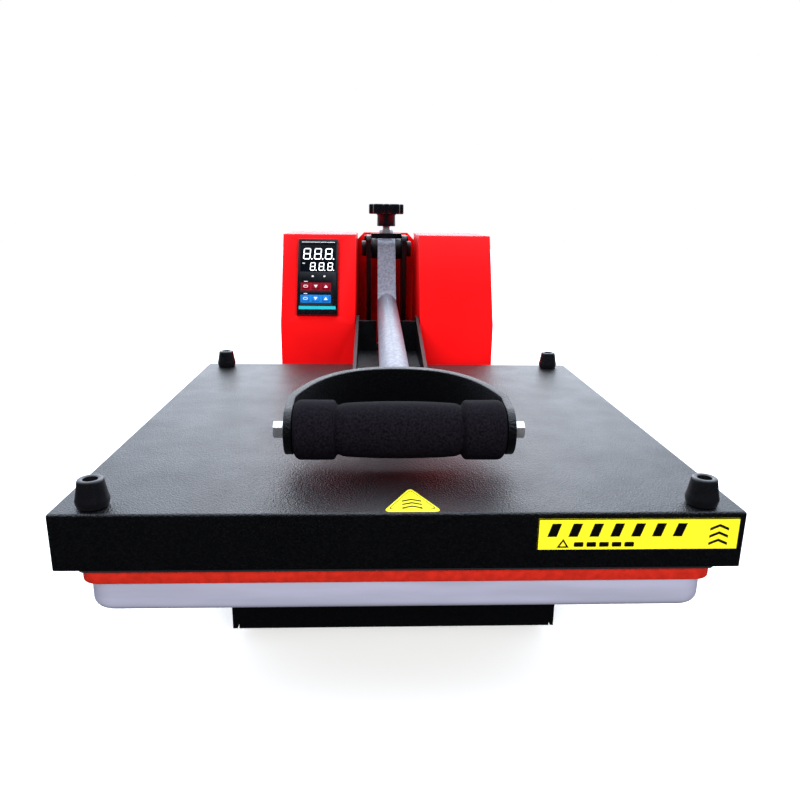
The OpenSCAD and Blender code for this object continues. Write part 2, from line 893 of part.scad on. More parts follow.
base_frame();
rubber_feet();
case_screws();
upright_left();
upright_right();
tie_bars();
upright_screws();
top_crossbar();
lock_nut();
hinge_shaft();
platen_posts();
lower_platen();
silicone_pad();
housing_left();
housing_right();
rear_panel();
controller_case();
display_window();
temp_strip();
time_strip();
temp_set_button();
temp_down_button();
temp_up_button();
time_set_button();
time_down_button();
time_up_button();
solid_state_relay();
terminal_block();
power_inlet();
switch_bezel();
power_rocker();
fuse_holder();
fuse_cap();
lift_springs();
spring_anchors();
cable_grommet();
heater_cable();
heater_cover();
cover_bumpers();
bumper_screws();
heat_platen();
heating_element();
insulation_board();
platen_spacers();
platen_bracket();
bracket_bolts();
hinge_bushes();
bracket_pins();
warning_labels();
pressure_yoke();
lever_shaft();
pressure_screw();
pressure_knob();
lever_arm();
lever_fork();
grip_tube();
foam_grip();
grip_bolts();
link_pin();
toggle_link();
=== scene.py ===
"""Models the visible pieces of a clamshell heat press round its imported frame."""

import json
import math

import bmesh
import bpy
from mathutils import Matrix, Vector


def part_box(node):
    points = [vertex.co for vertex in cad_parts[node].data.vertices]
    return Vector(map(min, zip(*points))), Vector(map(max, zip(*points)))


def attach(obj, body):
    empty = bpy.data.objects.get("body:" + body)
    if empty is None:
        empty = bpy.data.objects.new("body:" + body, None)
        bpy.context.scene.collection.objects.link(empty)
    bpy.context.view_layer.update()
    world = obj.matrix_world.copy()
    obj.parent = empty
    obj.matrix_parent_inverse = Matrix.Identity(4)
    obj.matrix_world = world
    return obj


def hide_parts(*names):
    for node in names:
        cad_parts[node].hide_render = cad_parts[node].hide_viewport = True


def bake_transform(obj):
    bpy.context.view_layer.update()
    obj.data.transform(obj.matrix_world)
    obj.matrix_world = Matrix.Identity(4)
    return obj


bl_info = {
    "name": "Clamshell Heat Press",
    "version": (1, 0, 0),
    "blender": (4, 5, 0),
    "location": "View3D > Sidebar > Heat Press",
    "description": "Builds the painted, cast, foam and rubber pieces of a heat press round its frame",
    "category": "Add Mesh",
}

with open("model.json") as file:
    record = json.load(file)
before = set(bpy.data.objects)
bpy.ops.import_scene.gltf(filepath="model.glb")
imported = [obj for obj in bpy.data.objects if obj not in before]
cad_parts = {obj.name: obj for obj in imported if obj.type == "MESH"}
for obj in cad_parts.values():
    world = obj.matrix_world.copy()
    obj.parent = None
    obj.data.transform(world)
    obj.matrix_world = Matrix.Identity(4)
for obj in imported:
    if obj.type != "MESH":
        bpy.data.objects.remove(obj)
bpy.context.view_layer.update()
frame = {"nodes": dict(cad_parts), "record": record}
BODY_OF = {n: b for b, ns in frame["record"]["behaviour"]["bodies"].items() for n in ns}
SLOT_OF = {s["node"]: s["material_slot"] for s in frame["record"]["subparts"]}

MM = 0.001
SMOOTH = math.radians(38)       # shading breaks at folds sharper than this
ROUNDED = math.radians(35)      # edges sharper than this are rounded
FLAT = math.radians(1)          # faces that differ by less than this are one face
WELD = 0.005 * MM               # corners closer than this are one corner
LEVEL = 0.02 * MM               # corners within this of a height lie at it
UPRIGHT = 0.99                  # an edge with this much of its length along Z stands
SMALLEST_FACE = 0.01 * MM * MM  # smaller faces don't say which way a node looks
SAME_WAY = 0.01                 # normals that differ by less than this look the same way
SAME_PLANE = 0.05 * MM
NOISE_LOW, NOISE_HIGH = 0.3, 0.7   # a noise pattern's values mostly lie between these
INK = 0.1 * MM                  # height of a printed mark above its sticker
STICKER = 0.25 * MM             # thickness of a sticker
LIT_MARK = 0.12 * MM            # height of the display's digits and marks above the window
KEY_MARK = 0.08 * MM            # height of a key's symbol above the key
COVER_SHEET = 1.5 * MM          # thickness of the cover's sheet steel
FLOOR_SIZE = 12                 # metres
FLOOR_GAP = 0.5 * MM            # the floor lies this far under the feet

CAMERA_PLACE = (-0.01757, -0.67045, 0.31975)
CAMERA_YAW, CAMERA_PITCH, CAMERA_ROLL = -0.0414, -0.2653, 0.0133
CAMERA_LENS = 30.88
SENSOR_WIDTH = 36
CLIP_START = 0.01
LAMP_TARGET = (0, 0, 0.15)
# name, place, size, power, and whether it shows in reflections: the two in front of the press don't,
# which keeps the black coat and the display free of glare
LAMPS = (("key", (-0.9, -2.7, 1.4), 1.4, 70, False),
         ("fill", (1.5, -2.5, 1.0), 1.4, 50, False),
         ("back", (0.1, 2.0, 1.5), 2.2, 24, True))
SKY_DIRECTION = (0, 0.6, 0.8)   # where the studio's light is brightest: above and behind the press
SKY_TINT = (0.76, 0.85, 1.0, 1)
SKY_DARK, SKY_BRIGHT = 0.03, 2.9   # strength away from that direction and towards it
SKY_START, SKY_END = 0.05, 0.9     # cosines of the angles between which it brightens

# the heater's lead: y and z in millimetres, from the cover to the control box
LEAD_ROUTE = ((84, 140), (92, 138), (98, 131), (101, 121), (102, 110), (103, 99), (105, 89), (110, 80),
              (117, 76), (124, 78), (129, 84), (131, 93), (131, 102), (131, 111), (133, 119), (138, 124.4),
              (143, 125), (148, 125))
LEAD_RADIUS = 3.9 * MM


# ---- sizes and colours that a user would change ----


class HeatPressSizes(bpy.types.PropertyGroup):
    """Radii and small sizes of the pieces."""

    cover_bend: bpy.props.FloatProperty(
        name="Cover bend", description="Outer radius of the cover's folds",
        default=2.4 * MM, min=0.5 * MM, max=5 * MM, unit="LENGTH")
    box_bend: bpy.props.FloatProperty(
        name="Box bend", description="Outer radius of the control box's folds",
        default=1.3 * MM, min=0.3 * MM, max=3 * MM, unit="LENGTH")
    platen_corner: bpy.props.FloatProperty(
        name="Platen corner", description="Corner radius of the lower platen",
        default=16 * MM, min=4 * MM, max=30 * MM, unit="LENGTH")
    platen_edge: bpy.props.FloatProperty(
        name="Platen edge", description="Radius of the lower platen's bottom edge",
        default=5.5 * MM, min=1 * MM, max=9 * MM, unit="LENGTH")
    pad_corner: bpy.props.FloatProperty(
        name="Pad corner", description="Corner radius of the silicone pad",
        default=12 * MM, min=2 * MM, max=30 * MM, unit="LENGTH")
    coat_grain: bpy.props.FloatProperty(
        name="Coat grain", description="Size of one grain in the black powder coat",
        default=1.1 * MM, min=0.3 * MM, max=4 * MM, unit="LENGTH")
    lobes: bpy.props.IntProperty(
        name="Knob lobes", description="Number of lobes on the pressure knob",
        default=8, min=5, max=12)
    digit_slant: bpy.props.FloatProperty(
        name="Digit slant", description="Lean of the display's digits",
        default=math.radians(4), min=0, max=math.radians(12), unit="ROTATION")


class HeatPressColours(bpy.types.PropertyGroup):
    """Base colours of the finishes."""

    coat: bpy.props.FloatVectorProperty(
        name="Powder coat", description="Black powder coat", subtype="COLOR", size=4,
        default=(0.0020, 0.0020, 0.0025, 1), min=0, max=1)
    enamel: bpy.props.FloatVectorProperty(
        name="Enamel", description="Red enamel of the control box", subtype="COLOR", size=4,
        default=(0.92, 0.0045, 0.006, 1), min=0, max=1)
    silver: bpy.props.FloatVectorProperty(
        name="Platen paint", description="Silver paint of the lower platen", subtype="COLOR", size=4,
        default=(0.41, 0.415, 0.54, 1), min=0, max=1)
    silicone: bpy.props.FloatVectorProperty(
        name="Silicone", description="Red silicone sponge", subtype="COLOR", size=4,
        default=(0.52, 0.022, 0.012, 1), min=0, max=1)
    foam: bpy.props.FloatVectorProperty(
        name="Foam", description="Black foam of the grip", subtype="COLOR", size=4,
        default=(0.0075, 0.006, 0.009, 1), min=0, max=1)
    label: bpy.props.FloatVectorProperty(
        name="Label", description="Yellow of the stickers", subtype="COLOR", size=4,
        default=(1.0, 0.88, 0.025, 1), min=0, max=1)


def sizes():
    return bpy.context.scene.heat_press_sizes


def colours():
    return bpy.context.scene.heat_press_colours


# ---- materials ----


def new_finish(name, colour, roughness, metallic=0.0, **sockets):
    """A principled material with uniform values on its own sockets."""
    finish = bpy.data.materials.new(name)
    finish.use_nodes = True
    shader = finish.node_tree.nodes["Principled BSDF"]
    shader.inputs["Base Color"].default_value = tuple(colour)[:3] + (1,)
    shader.inputs["Roughness"].default_value = roughness
    shader.inputs["Metallic"].default_value = metallic
    for socket, value in sockets.items():
        shader.inputs[socket.replace("_", " ")].default_value = value
    return finish


def object_noise(finish, size, detail=3.0, stretch=(1, 1, 1), kind="NOISE"):
    """A pattern on Object coordinates whose cells are about size across; returns its value socket."""
    tree = finish.node_tree
    place = tree.nodes.new("ShaderNodeTexCoord")
    turn = tree.nodes.new("ShaderNodeMapping")
    turn.inputs["Scale"].default_value = stretch
    tree.links.new(place.outputs["Object"], turn.inputs["Vector"])
    if kind == "VORONOI":
        pattern = tree.nodes.new("ShaderNodeTexVoronoi")
        pattern.feature = "SMOOTH_F1"
        value = pattern.outputs["Distance"]
    else:
        pattern = tree.nodes.new("ShaderNodeTexNoise")
        pattern.inputs["Detail"].default_value = detail
        value = pattern.outputs["Fac"]
    pattern.inputs["Scale"].default_value = 1 / size
    tree.links.new(turn.outputs["Vector"], pattern.inputs["Vector"])
    return value


def add_bump(finish, value, depth, strength=1.0):
    """Adds a layer of bump over what the shader's normal already has."""
    tree = finish.node_tree
    shader = tree.nodes["Principled BSDF"]
    bump = tree.nodes.new("ShaderNodeBump")
    bump.inputs["Strength"].default_value = strength
    bump.inputs["Distance"].default_value = depth
    tree.links.new(value, bump.inputs["Height"])
    for link in list(shader.inputs["Normal"].links):
        tree.links.new(link.from_socket, bump.inputs["Normal"])
    tree.links.new(bump.outputs["Normal"], shader.inputs["Normal"])


def vary_roughness(finish, value, low, high):
    """Runs the roughness from low to high with a noise pattern."""
    tree = finish.node_tree
    span = tree.nodes.new("ShaderNodeMapRange")
    span.inputs["From Min"].default_value = NOISE_LOW
    span.inputs["From Max"].default_value = NOISE_HIGH
    span.inputs["To Min"].default_value = low
    span.inputs["To Max"].default_value = high
    tree.links.new(value, span.inputs["Value"])
    tree.links.new(span.outputs["Result"], tree.nodes["Principled BSDF"].inputs["Roughness"])


def vary_colour(finish, value, first, second, low=0.35, high=0.65):
    """Runs the base colour from first to second as value goes from low to high."""
    tree = finish.node_tree
    ramp = tree.nodes.new("ShaderNodeValToRGB")
    ramp.color_ramp.elements[0].position = low
    ramp.color_ramp.elements[1].position = high
    ramp.color_ramp.elements[0].color = tuple(first)[:3] + (1,)
    ramp.color_ramp.elements[1].color = tuple(second)[:3] + (1,)
    tree.links.new(value, ramp.inputs["Fac"])
    tree.links.new(ramp.outputs["Color"], tree.nodes["Principled BSDF"].inputs["Base Color"])


def shade(colour, factor):
    """A colour made darker or lighter."""
    return tuple(min(1, c * factor) for c in tuple(colour)[:3]) + (1,)


def powder_coat():
    """Black textured powder coat: hard rounded grains with a little gloss."""
    colour = colours().coat
    grain = sizes().coat_grain
    finish = new_finish("black_powder_coat", colour, 0.4, Specular_IOR_Level=0.5)
    grains = object_noise(finish, grain, detail=2)
    vary_colour(finish, grains, shade(colour, 0.35), shade(colour, 1.5), 0.4, 0.75)
    add_bump(finish, object_noise(finish, grain, kind="VORONOI"), 0.5 * MM, 0.8)
    add_bump(finish, object_noise(finish, grain * 0.7, detail=2), 0.35 * MM, 0.9)
    vary_roughness(finish, object_noise(finish, 30 * MM), 0.36, 0.44)
    return finish


def red_enamel():
    """Red stoved enamel with a faint orange peel."""
    colour = colours().enamel
    finish = new_finish("red_enamel", colour, 0.4, Specular_IOR_Level=0.2)
    vary_colour(finish, object_noise(finish, 60 * MM), shade(colour, 0.94), shade(colour, 1.03))
    add_bump(finish, object_noise(finish, 2.2 * MM, detail=2), 0.03 * MM, 0.3)
    vary_roughness(finish, object_noise(finish, 25 * MM), 0.36, 0.46)
    return finish


def platen_paint():
    """Silver paint with a faint drag along the platen."""
    colour = colours().silver
    finish = new_finish("silver_platen_paint", colour, 0.42, 0.1)
    vary_colour(finish, object_noise(finish, 18 * MM, stretch=(0.25, 0.25, 2)), shade(colour, 0.92),
                shade(colour, 1.07))
    add_bump(finish, object_noise(finish, 0.9 * MM, detail=4), 0.05 * MM, 0.5)
    vary_roughness(finish, object_noise(finish, 9 * MM), 0.36, 0.48)
    return finish


def silicone_sponge():
    """Red silicone sponge: fine closed cells, slightly mottled."""
    colour = colours().silicone
    finish = new_finish("red_silicone_sponge", colour, 0.66, Specular_IOR_Level=0.25)
    vary_colour(finish, object_noise(finish, 5 * MM, detail=6), shade(colour, 0.82), shade(colour, 1.1))
    add_bump(finish, object_noise(finish, 1.1 * MM, kind="VORONOI"), 0.12 * MM, 0.5)
    add_bump(finish, object_noise(finish, 0.35 * MM, detail=4), 0.05 * MM, 0.6)
    return finish


def grip_foam():
    """Black foam skin, matt and finely pored."""
    colour = colours().foam
    finish = new_finish("black_grip_foam", colour, 0.85, Specular_IOR_Level=0.08)
    vary_colour(finish, object_noise(finish, 1.4 * MM, detail=5), shade(colour, 0.4), shade(colour, 1.2))
    add_bump(finish, object_noise(finish, 0.9 * MM, kind="VORONOI"), 0.16 * MM, 0.6)
    add_bump(finish, object_noise(finish, 0.3 * MM, detail=4), 0.06 * MM, 0.7)
    return finish


def bumper_rubber():
    """Smooth moulded rubber."""
    finish = new_finish("black_rubber", (0.004, 0.004, 0.005), 0.3, Specular_IOR_Level=0.5)
    vary_roughness(finish, object_noise(finish, 4 * MM), 0.22, 0.42)
    add_bump(finish, object_noise(finish, 0.7 * MM, detail=3), 0.03 * MM, 0.4)
    return finish


def bright_zinc():
    """Bright zinc plate on bolts, nuts and springs."""
    finish = new_finish("bright_zinc", (0.74, 0.74, 0.77), 0.24, 0.85)
    vary_colour(finish, object_noise(finish, 3 * MM), (0.64, 0.64, 0.66), (0.82, 0.82, 0.86))
    vary_roughness(finish, object_noise(finish, 1.5 * MM, detail=5), 0.16, 0.36)
    add_bump(finish, object_noise(finish, 0.5 * MM, stretch=(1, 1, 6)), 0.015 * MM, 0.4)
    return finish


def black_oxide():
    """Oiled black oxide on steel."""
    finish = new_finish("black_oxide_steel", (0.010, 0.010, 0.012), 0.38, 0.4)
    vary_roughness(finish, object_noise(finish, 3 * MM, detail=5), 0.28, 0.5)
    add_bump(finish, object_noise(finish, 0.6 * MM), 0.02 * MM, 0.4)
    return finish


def hammered_silver():
    """Silver hammer finish of the cast lever: shallow dimples a few millimetres across."""
    finish = new_finish("silver_hammer_finish", (0.17, 0.175, 0.20), 0.4, 0.35)
    dimples = object_noise(finish, 2.6 * MM, kind="VORONOI")
    vary_colour(finish, dimples, (0.12, 0.125, 0.155), (0.20, 0.205, 0.245), 0.15, 0.6)
    add_bump(finish, dimples, 0.22 * MM, 0.35)
    add_bump(finish, object_noise(finish, 0.8 * MM, detail=4), 0.04 * MM, 0.5)
    vary_roughness(finish, object_noise(finish, 6 * MM), 0.32, 0.46)
    return finish


def machined_aluminium():
    """Bare plate with fine cutter marks along X."""
    finish = new_finish("machined_aluminium", (0.78, 0.78, 0.80), 0.3, 1.0)
    add_bump(finish, object_noise(finish, 0.5 * MM, stretch=(0.01, 1, 1)), 0.012 * MM, 0.4)
    vary_roughness(finish, object_noise(finish, 14 * MM), 0.22, 0.4)
    return finish


def grained_plastic(name, colour, roughness, grain=0.6 * MM, gloss=0.3):
    """Moulded plastic, rubber or membrane with a fine grain."""
    finish = new_finish(name, colour, roughness, Specular_IOR_Level=gloss)
    vary_colour(finish, object_noise(finish, 8 * MM), shade(colour, 0.85), shade(colour, 1.15))
    vary_roughness(finish, object_noise(finish, 5 * MM), roughness - 0.05, roughness + 0.07)
    add_bump(finish, object_noise(finish, grain, detail=3), 0.03 * MM, 0.45)
    return finish


def lit_display(name, colour, strength):
    """Bars that glow."""
    finish = new_finish(name, colour, 0.4)
    shader = finish.node_tree.nodes["Principled BSDF"]
    shader.inputs["Emission Color"].default_value = tuple(colour)[:3] + (1,)
    shader.inputs["Emission Strength"].default_value = strength
    vary_colour(finish, object_noise(finish, 2 * MM), shade(colour, 0.9), colour)
    return finish


def printed(name, colour):
    """Ink or coloured vinyl."""
    finish = new_finish(name, colour, 0.45, Specular_IOR_Level=0.3)
    vary_colour(finish, object_noise(finish, 12 * MM), shade(colour, 0.95), shade(colour, 1.03))
    add_bump(finish, object_noise(finish, 1.6 * MM), 0.01 * MM, 0.3)
    return finish


def mineral_board():
    """Pale insulation board with a loose fibrous face."""
    finish = new_finish("mineral_fibre_board", (0.78, 0.75, 0.66), 0.92)
    vary_colour(finish, object_noise(finish, 2 * MM, detail=6), (0.6, 0.57, 0.48), (0.86, 0.84, 0.76))
    add_bump(finish, object_noise(finish, 1.2 * MM, detail=6), 0.3 * MM, 0.7)
    return finish


def new_bronze():
    """Sintered bronze of the hinge bushes."""
    finish = new_finish("sintered_bronze", (0.55, 0.38, 0.16), 0.35, 1.0)
    vary_roughness(finish, object_noise(finish, 1 * MM, detail=5), 0.28, 0.5)
    return finish


def pale_floor():
    """Plain matt floor, near white."""
    finish = new_finish("pale_floor", (0.9, 0.9, 0.9), 0.9, Specular_IOR_Level=0.0, Emission_Strength=0.35)
    vary_colour(finish, object_noise(finish, 0.8), (0.89, 0.88, 0.86), (0.92, 0.91, 0.89))
    return finish


FINISH_MAKERS = {
    "black_coat": powder_coat,
    "red_paint": red_enamel,
    "platen_grey": platen_paint,
    "silicone": silicone_sponge,
    "foam": grip_foam,
    "black_rubber": bumper_rubber,
    "zinc": bright_zinc,
    "black_steel": black_oxide,
    "lever_silver": hammered_silver,
    "cast_aluminium": machined_aluminium,
    "insulation": mineral_board,
    "black_plastic": lambda: grained_plastic("black_plastic", (0.0025, 0.003, 0.0045), 0.28, gloss=0.5),
    "window": lambda: grained_plastic("dark_window", (0.002, 0.003, 0.006), 0.34, 3 * MM, 0.08),
    "red_keys": lambda: grained_plastic("dark_red_membrane", (0.24, 0.0, 0.010), 0.5),
    "blue_keys": lambda: grained_plastic("blue_membrane", (0.006, 0.19, 0.60), 0.5),
    "red_plastic": lambda: grained_plastic("red_rocker_plastic", (0.60, 0.012, 0.010), 0.26),
    "white_plastic": lambda: grained_plastic("white_nylon", (0.78, 0.76, 0.70), 0.5),
    "silicone_sleeve": lambda: grained_plastic("silicone_sleeve", (0.72, 0.69, 0.62), 0.6),
    "mica": lambda: grained_plastic("mica_sheet", (0.52, 0.41, 0.18), 0.4, 2 * MM),
    "bronze": new_bronze,
    "label_yellow": lambda: printed("label_yellow", colours().label),
    "label_black": lambda: printed("label_black_ink", (0.002, 0.002, 0.002, 1)),
    "symbol_white": lambda: printed("white_symbol_ink", (0.85, 0.85, 0.85, 1)),
    "cyan": lambda: printed("cyan_stripe", (0.02, 0.45, 0.52, 1)),
    "floor": pale_floor,
    "digit": lambda: lit_display("lit_digits", (0.92, 0.95, 1.0, 1), 1.6),
}


def finish_for(slot):
    """The material of a slot, made once."""
    key = "finish:" + slot
    if key not in bpy.data.materials:
        made = FINISH_MAKERS[slot]()
        made.name = key
    return bpy.data.materials[key]


# ---- modelling helpers ----


def deselect():
    if bpy.context.object is not None and bpy.context.object.mode != "OBJECT":
        bpy.ops.object.mode_set(mode="OBJECT")
    bpy.ops.object.select_all(action="DESELECT")


def pick(piece):
    """Makes a piece the only one selected, and active."""
    deselect()
    piece.select_set(True)
    bpy.context.view_layer.objects.active = piece


def named(name):
    """Names the object that an operator has just added."""
    piece = bpy.context.object
    piece.name = name
    piece.data.name = name
    return piece


def new_box(name, low, high):
    """A box between two corners."""
    deselect()
    low, high = Vector(low), Vector(high)
    bpy.ops.mesh.primitive_cube_add(size=1, location=(low + high) / 2)
    piece = named(name)
    piece.scale = high - low
    bpy.ops.object.transform_apply(location=True, rotation=True, scale=True)
    return piece


def start_edit(piece, kind, wanted):
    """Enters edit mode with the edges or faces selected that wanted() accepts."""
    pick(piece)
    bpy.ops.object.mode_set(mode="EDIT")
    bpy.ops.mesh.select_mode(type=kind)
    bpy.ops.mesh.select_all(action="DESELECT")
    mesh = bmesh.from_edit_mesh(piece.data)
    for item in (mesh.edges if kind == "EDGE" else mesh.faces):
        if wanted(item):
            item.select_set(True)
    bmesh.update_edit_mesh(piece.data)


def bevel_edges(piece, wanted, radius, segments):
    """Rounds the edges that wanted() accepts."""
    start_edit(piece, "EDGE", wanted)
    bpy.ops.mesh.bevel(offset=radius, segments=segments, profile=0.5, affect="EDGES", clamp_overlap=True)
    bpy.ops.object.mode_set(mode="OBJECT")


def stands(edge):
    """Whether an edge runs straight up."""
    run = edge.verts[1].co - edge.verts[0].co
    return abs(run.z) > UPRIGHT * run.length


def lies_at(height):
    """A test for edges that lie level at a height."""
    return lambda edge: all(abs(v.co.z - height) < LEVEL for v in edge.verts)


def apply_modifier(piece, kind, **settings):
    """Adds a modifier, sets it and applies it."""
    pick(piece)
    modifier = piece.modifiers.new(kind.lower(), kind)
    for setting, value in settings.items():
        setattr(modifier, setting, value)
    bpy.ops.object.modifier_apply(modifier=modifier.name)


def round_edges(piece, width, segments=2):
    """Rounds every sharp edge."""
    apply_modifier(piece, "BEVEL", width=width, segments=segments, limit_method="ANGLE",
                   angle_limit=ROUNDED, miter_outer="MITER_ARC")


def mend_normals(piece):
    """Merges doubled corners and turns the faces outwards."""
    pick(piece)
    bpy.ops.object.mode_set(mode="EDIT")
    bpy.ops.mesh.select_all(action="SELECT")
    bpy.ops.mesh.remove_doubles(threshold=WELD)
    bpy.ops.mesh.normals_make_consistent(inside=False)
    bpy.ops.object.mode_set(mode="OBJECT")


def hand_over(piece, body, slot, *nodes):
    """Smooths a piece, gives it its finish, and rides it on its body in place of its CAD nodes."""
    pick(piece)
    bpy.ops.object.transform_apply(location=True, rotation=True, scale=True)
    bpy.ops.object.shade_smooth_by_angle(angle=SMOOTH)
    piece.data.materials.clear()
    piece.data.materials.append(finish_for(slot))
    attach(piece, body)
    if nodes:
        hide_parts(*nodes)
    return piece


def softened(node, width, segments=2):
    """A copy of a CAD node, its edges rounded unless the width is 0, which takes the node's place."""
    source = frame["nodes"][node]
    piece = bpy.data.objects.new(node + "_body", source.data.copy())
    bpy.context.scene.collection.objects.link(piece)
    pick(piece)
    if piece.data.has_custom_normals:
        bpy.ops.mesh.customdata_custom_splitnormals_clear()
    bpy.ops.object.mode_set(mode="EDIT")
    bpy.ops.mesh.select_all(action="SELECT")
    bpy.ops.mesh.remove_doubles(threshold=WELD)
    if width:
        bpy.ops.mesh.dissolve_limited(angle_limit=FLAT)
    bpy.ops.object.mode_set(mode="OBJECT")
    if width:
        round_edges(piece, width, segments)
    return hand_over(piece, BODY_OF[node], SLOT_OF[node], node)


def new_outline(name, outline):
    """A piece with the mesh of an outline, which is freed."""
    deselect()
    bpy.ops.mesh.primitive_plane_add(size=MM, location=(0, 0, 0))
    piece = named(name)
    outline.to_mesh(piece.data)
    outline.free()
    pick(piece)
    return piece


def lathed(name, profile, centre, axis, steps=48):
    """Spins a profile of (radius, along) points round an axis, X or Z, through centre."""
    centre = Vector(centre)
    if axis == "Z":
        points = [centre + Vector((r, 0, a)) for r, a in profile]
        spin_axis = (0, 0, 1)
    else:
        points = [centre + Vector((a, 0, r)) for r, a in profile]
        spin_axis = (1, 0, 0)
    outline = bmesh.new()
    corners = [outline.verts.new(p) for p in points]
    for a, b in zip(corners, corners[1:]):
        outline.edges.new((a, b))
    piece = new_outline(name, outline)
    bpy.ops.object.mode_set(mode="EDIT")
    bpy.ops.mesh.select_all(action="SELECT")
    bpy.ops.mesh.spin(steps=steps, angle=2 * math.pi, center=centre, axis=spin_axis)
    bpy.ops.object.mode_set(mode="OBJECT")
    mend_normals(piece)
    return piece


def extruded(piece, thickness, place):
    """Raises a flat piece to a thickness; place puts its own X, Y and Z into the frame."""
    bpy.ops.object.mode_set(mode="EDIT")
    bpy.ops.mesh.select_all(action="SELECT")
    bpy.ops.mesh.extrude_region_move(TRANSFORM_OT_translate={"value": (0, 0, thickness)})
    bpy.ops.object.mode_set(mode="OBJECT")
    piece.data.transform(place)
    mend_normals(piece)
    return piece


def plate(name, corners, thickness, place):
    """A flat plate inside 2D corners."""
    outline = bmesh.new()
    outline.faces.new([outline.verts.new((x, y, 0)) for x, y in corners])
    return extruded(new_outline(name, outline), thickness, place)


def joined(name, pieces):
    """Several pieces as one."""
    deselect()
    for piece in pieces:
        piece.select_set(True)
    bpy.context.view_layer.objects.active = pieces[0]
    bpy.ops.object.join()
    return named(name)


def outward_face(node, hint):
    """The centre and normal of a node's face that looks most along hint."""
    mesh = frame["nodes"][node].data
    hint = Vector(hint).normalized()
    flats = [p for p in mesh.polygons if p.area > SMALLEST_FACE]
    best = max(p.normal.dot(hint) for p in flats)
    facing = [p for p in flats if p.normal.dot(hint) > best - SAME_WAY]
    normal = facing[0].normal.copy()
    reach = max(p.center.dot(normal) for p in facing)
    top = [p for p in facing if p.center.dot(normal) > reach - SAME_PLANE]
    corners = [mesh.vertices[i].co for p in top for i in p.vertices]
    low = Vector([min(c[i] for c in corners) for i in range(3)])
    high = Vector([max(c[i] for c in corners) for i in range(3)])
    return (low + high) / 2, normal


def facing_place(origin, normal):
    """A matrix whose X runs along +X, and whose Z is normal."""
    across = Vector((1, 0, 0))
    up = normal.cross(across).normalized()
    turn = Matrix((across, up, normal)).transposed().to_4x4()
    return Matrix.Translation(origin) @ turn


def rounded_rectangle(width, height, radius, steps=6, centre=(0, 0)):
    """An outline with rounded corners, anticlockwise."""
    corners = []
    for k, (sx, sy) in enumerate(((1, 1), (-1, 1), (-1, -1), (1, -1))):
        for i in range(steps + 1):
            turn = math.pi / 2 * (k + i / steps)
            corners.append((centre[0] + sx * (width / 2 - radius) + radius * math.cos(turn),
                            centre[1] + sy * (height / 2 - radius) + radius * math.sin(turn)))
    return corners


def ring_plate(name, outer, inner, thickness, place):
    """A flat frame between two outlines with the same number of corners."""
    outline = bmesh.new()
    far = [outline.verts.new((x, y, 0)) for x, y in outer]
    near = [outline.verts.new((x, y, 0)) for x, y in inner]
    count = len(far)
    for i in range(count):
        j = (i + 1) % count
        outline.faces.new((far[i], far[j], near[j], near[i]))
    return extruded(new_outline(name, outline), thickness, place)


def wire(name, points, radius, sides=10):
    """A round wire through points, as a mesh."""
    curve = bpy.data.curves.new(name, "CURVE")
    curve.dimensions = "3D"
    curve.bevel_depth = radius
    curve.bevel_resolution = max(1, sides // 4)
    curve.use_fill_caps = True
    line = curve.splines.new("POLY")
    line.points.add(len(points) - 1)
    for knot, point in zip(line.points, points):
        knot.co = (*point, 1)
    piece = bpy.data.objects.new(name, curve)
    bpy.context.scene.collection.objects.link(piece)
    pick(piece)
    bpy.ops.object.convert(target="MESH")
    return named(name)


# ---- operators, one for each group of pieces ----


